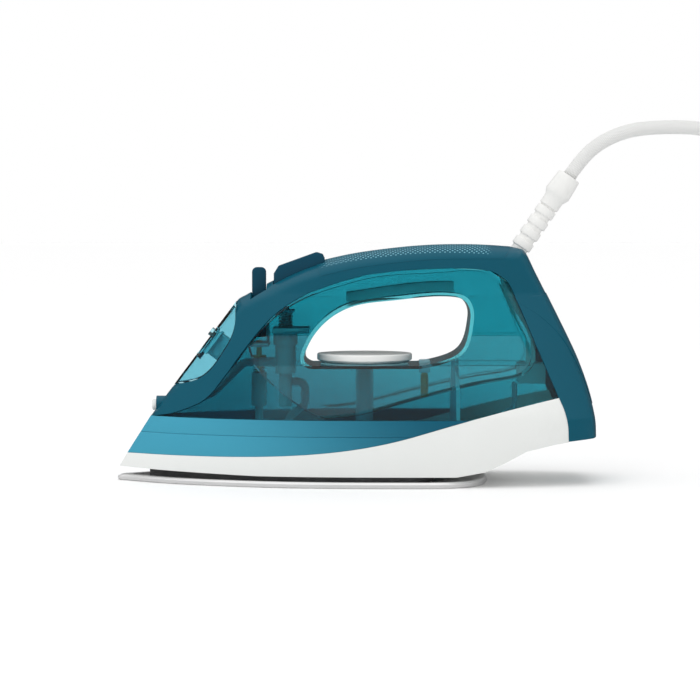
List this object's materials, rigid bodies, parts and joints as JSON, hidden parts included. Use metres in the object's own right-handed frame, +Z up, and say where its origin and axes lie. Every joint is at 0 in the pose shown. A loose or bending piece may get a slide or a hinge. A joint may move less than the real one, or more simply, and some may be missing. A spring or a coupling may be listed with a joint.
{
  "type": "steam iron",
  "caption": "Steam iron with a see-through water tank, closed loop handle, temperature dial, steam lever, spray and boost buttons, filling door and mains cord.",
  "frame": {"origin": "on the resting surface, in the middle of the iron's length and width, without the cord", "axes": "+X towards the heel, -X towards the toe, +Y across the iron, +Z up"},
  "size_m": [0.5892, 0.1372, 0.2218],
  "materials": {
    "sole_metal": "satin ceramic-coated metal",
    "cast_metal": "raw die-cast",
    "heater_metal": "sheathed tube",
    "steel": "plain",
    "brass_parts": "plain",
    "white_shell": "gloss",
    "light_blue": "satin",
    "tank_clear": "transparent tinted plastic",
    "window_clear": "transparent light tinted plastic",
    "dark_teal": "satin",
    "grip": "fine dotted",
    "button_plastic": "satin",
    "inner_teal": "moulded",
    "inner_grey": "moulded",
    "dial_white": "satin",
    "clear_part": "clear plastic",
    "lamp": "neon lamp",
    "seal_rubber": "soft",
    "hose_rubber": "silicone",
    "ceramic_part": "unglazed",
    "cord_sleeve": "braided",
    "cord_white": "satin"
  },
  "bodies": {
    "iron": {"soleplate": "sole_metal", "heating_element": "heater_metal", "sole_casting": "cast_metal", "chamber_lid": "cast_metal", "chamber_screws": "steel", "thermostat": "ceramic_part", "thermal_fuse": "brass_parts", "dial_collar": "clear_part", "spindle_sleeve": "clear_part", "skirt": "white_shell", "trim_band": "light_blue", "tank_base": "light_blue", "tank_floor": "inner_teal", "tank_body": "tank_clear", "tank_partition": "inner_teal", "fill_door_pin": "steel", "front_window": "window_clear", "fill_funnel": "inner_teal", "nozzle_housing": "dark_teal", "spray_nozzle": "dial_white", "spray_hose": "hose_rubber", "boost_hose": "hose_rubber", "spray_pump_cylinder": "inner_grey", "boost_pump_cylinder": "inner_grey", "spray_spring": "steel", "boost_spring": "steel", "pump_bracket": "inner_teal", "lever_bracket": "inner_teal", "lever_pin": "steel", "valve_housing": "inner_grey", "valve_spring": "steel", "handle_cover": "dark_teal", "grip_pad": "grip", "rear_cover": "dark_teal", "rear_screws": "steel", "rear_rib": "inner_teal", "handle_channel": "light_blue", "terminal_block": "inner_grey", "pilot_lens": "clear_part", "pilot_lamp": "lamp", "strain_relief": "cord_white", "inner_lead": "cord_white", "heater_leads": "hose_rubber", "cord": "cord_sleeve", "cord_coil": "cord_sleeve", "plug": "cord_white", "plug_pins": "brass_parts"},
    "dial": {"dial": "dial_white", "dial_spindle": "steel"},
    "lever": {"steam_lever": "button_plastic"},
    "valve": {"valve_rod": "brass_parts"},
    "spray_button": {"spray_button": "button_plastic", "spray_piston": "inner_teal"},
    "boost_button": {"boost_button": "button_plastic", "boost_piston": "inner_teal"},
    "fill_door": {"fill_door": "window_clear", "fill_door_seal": "seal_rubber"}
  },
  "joints": [
    {"name": "dial_turn", "type": "hinge", "parent": "iron", "child": "dial", "pos_m": [0.0053, 0, 0.0758], "axis": [0, 0, 1], "range_deg": [0, 290]},
    {"name": "steam_lever_rock", "type": "hinge", "parent": "iron", "child": "lever", "pos_m": [-0.0598, 0, 0.092], "axis": [1, 0, 0], "range_deg": [-20, 20]},
    {"name": "steam_valve_lift", "type": "slide", "parent": "iron", "child": "valve", "axis": [0, 0, 1], "range_m": [-0.0015, 0.0015], "deforming": ["valve_spring"]},
    {"name": "spray_press", "type": "slide", "parent": "iron", "child": "spray_button", "axis": [0, 0, -1], "range_m": [0, 0.0045], "stiffness_N_per_m": 500, "springref_m": -0.002, "deforming": ["spray_spring"]},
    {"name": "boost_press", "type": "slide", "parent": "iron", "child": "boost_button", "axis": [0, 0, -1], "range_m": [0, 0.0045], "stiffness_N_per_m": 500, "springref_m": -0.002, "deforming": ["boost_spring"]},
    {"name": "fill_door_swing", "type": "hinge", "parent": "iron", "child": "fill_door", "pos_m": [-0.09656, 0, 0.07813], "axis": [0, -1, 0], "range_deg": [0, 100]}
  ],
  "couplings": [
    {"joint": "steam_valve_lift", "follows": "steam_lever_rock", "m_per_rad": 0.004293}
  ]
}
